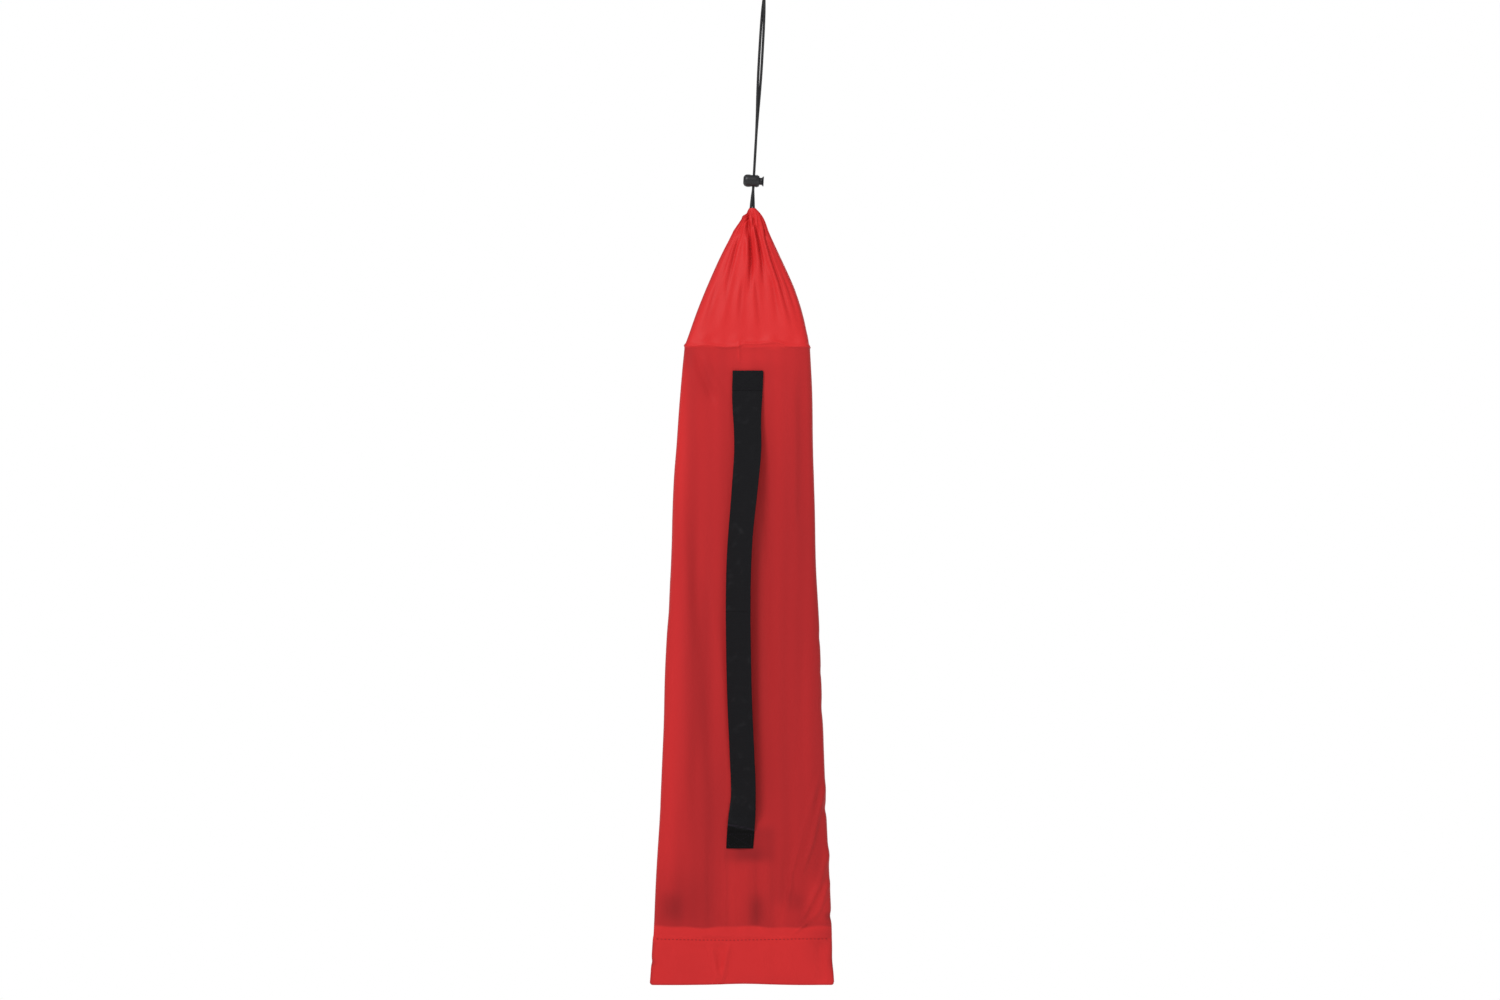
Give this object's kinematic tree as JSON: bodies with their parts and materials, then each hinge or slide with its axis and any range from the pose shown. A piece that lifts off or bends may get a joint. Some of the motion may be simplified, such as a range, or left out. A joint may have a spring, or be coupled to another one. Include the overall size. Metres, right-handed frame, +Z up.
{
  "type": "packed windsock and pole kit in a hanging drawstring bag",
  "caption": "Slim drawstring carry bag hanging by its cord, with a spring cord lock, a sewn webbing strap, and the pole sections and rolled sock packed inside.",
  "frame": {"origin": "inside the top of the cord eye, where a hook carries the bag", "axes": "+Z up along the hanging bag, -Y out of its front with the carry strap, +X to the right seen from the front"},
  "size_m": [0.2025, 0.0796, 1.1133],
  "materials": {
    "bag_nylon": "satin",
    "strap_webbing": "matte",
    "cord": "matte",
    "lock_plastic": "satin",
    "spring_steel": "satin",
    "pole_tube": "satin",
    "pole_plug": "matte",
    "sock_cloth": "matte"
  },
  "bodies": {
    "bag": {"front_panel": "bag_nylon", "back_panel": "bag_nylon", "left_side_seam": "bag_nylon", "right_side_seam": "bag_nylon", "neck_casing": "bag_nylon", "bottom_hem": "bag_nylon", "strap_top_patch": "bag_nylon", "strap_bottom_patch": "bag_nylon", "strap_top_tab": "strap_webbing", "strap_bottom_tab": "strap_webbing", "sock_tie": "strap_webbing", "cord_eye": "cord", "cord_knot": "cord", "drawstring_first": "cord", "drawstring_second": "cord", "drawstring_in_casing": "cord", "pole_section_1": "pole_tube", "pole_section_2": "pole_tube", "pole_section_3": "pole_tube", "pole_section_4": "pole_tube", "pole_plug_1": "pole_plug", "pole_plug_2": "pole_plug", "pole_plug_3": "pole_plug", "pole_plug_4": "pole_plug", "rolled_sock": "sock_cloth"},
    "lock": {"lock_barrel": "lock_plastic", "lock_spring": "spring_steel"},
    "plunger": {"lock_plunger": "lock_plastic"},
    "strap": {"carry_strap": "strap_webbing"}
  },
  "joints": [
    {"name": "lock_slide", "type": "slide", "parent": "bag", "child": "lock", "axis": [0.0568, 0, 0.9984], "range_m": [-0.016, 0.185], "deforming": ["drawstring_first", "drawstring_second"]},
    {"name": "plunger_press", "type": "slide", "parent": "lock", "child": "plunger", "axis": [-0.9984, 0, 0.0568], "range_m": [0, 0.0024], "stiffness_N_per_m": 600, "springref_m": -0.002, "deforming": ["lock_spring"]},
    {"name": "strap_lift", "type": "slide", "parent": "bag", "child": "strap", "axis": [0, -1, 0], "range_m": [0, 0.035], "stiffness_N_per_m": 20, "springref_m": -0.005}
  ]
}
